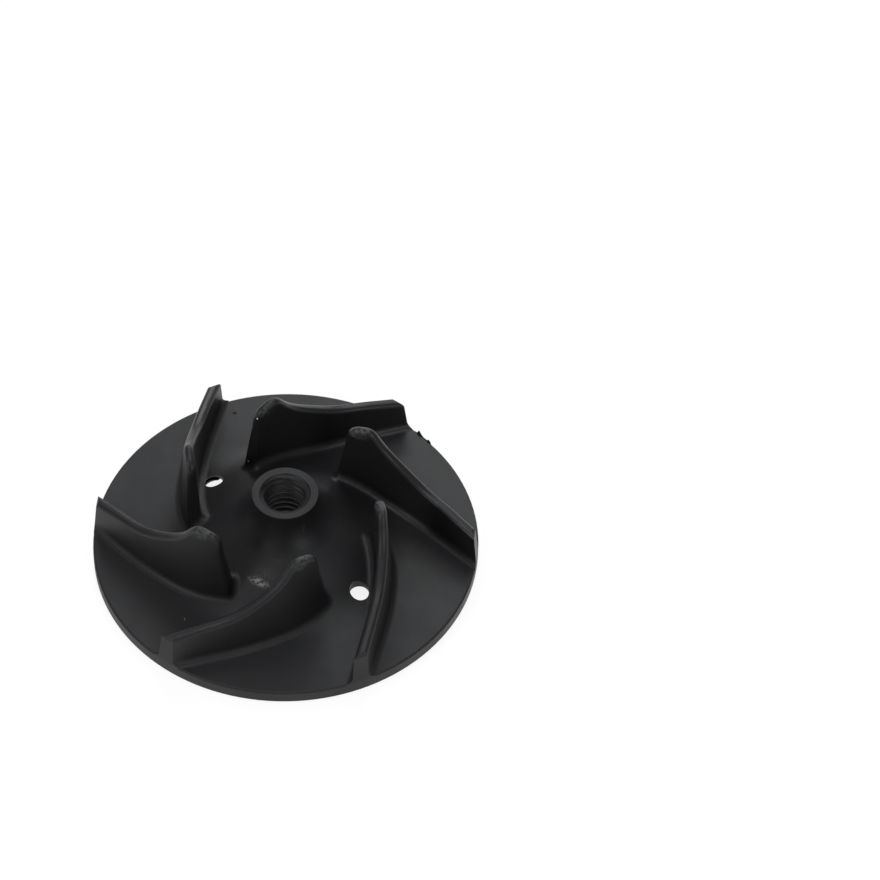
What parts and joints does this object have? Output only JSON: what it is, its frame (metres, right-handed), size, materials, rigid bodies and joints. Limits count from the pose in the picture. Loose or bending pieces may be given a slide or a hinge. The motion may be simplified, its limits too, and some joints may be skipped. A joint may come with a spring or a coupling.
{
  "type": "pump impeller",
  "caption": "Semi-open centrifugal pump impeller: a flat disc with backward-curved vanes on one side, a trumpet hub with a threaded bore and a shallow dished back with a shaft boss.",
  "frame": {"origin": "on the bore axis in the plane of the rim's back edge, the lowest point of the part when it lies on its back", "axes": "+Z along the bore axis from the back towards the vanes and the hub's mouth; +X and +Y in the plane of the disc"},
  "size_m": [0.064, 0.064, 0.0181],
  "materials": {
    "impeller": "black moulded plastic with a satin surface"
  },
  "bodies": {
    "root": {"impeller": "impeller"}
  },
  "joints": []
}
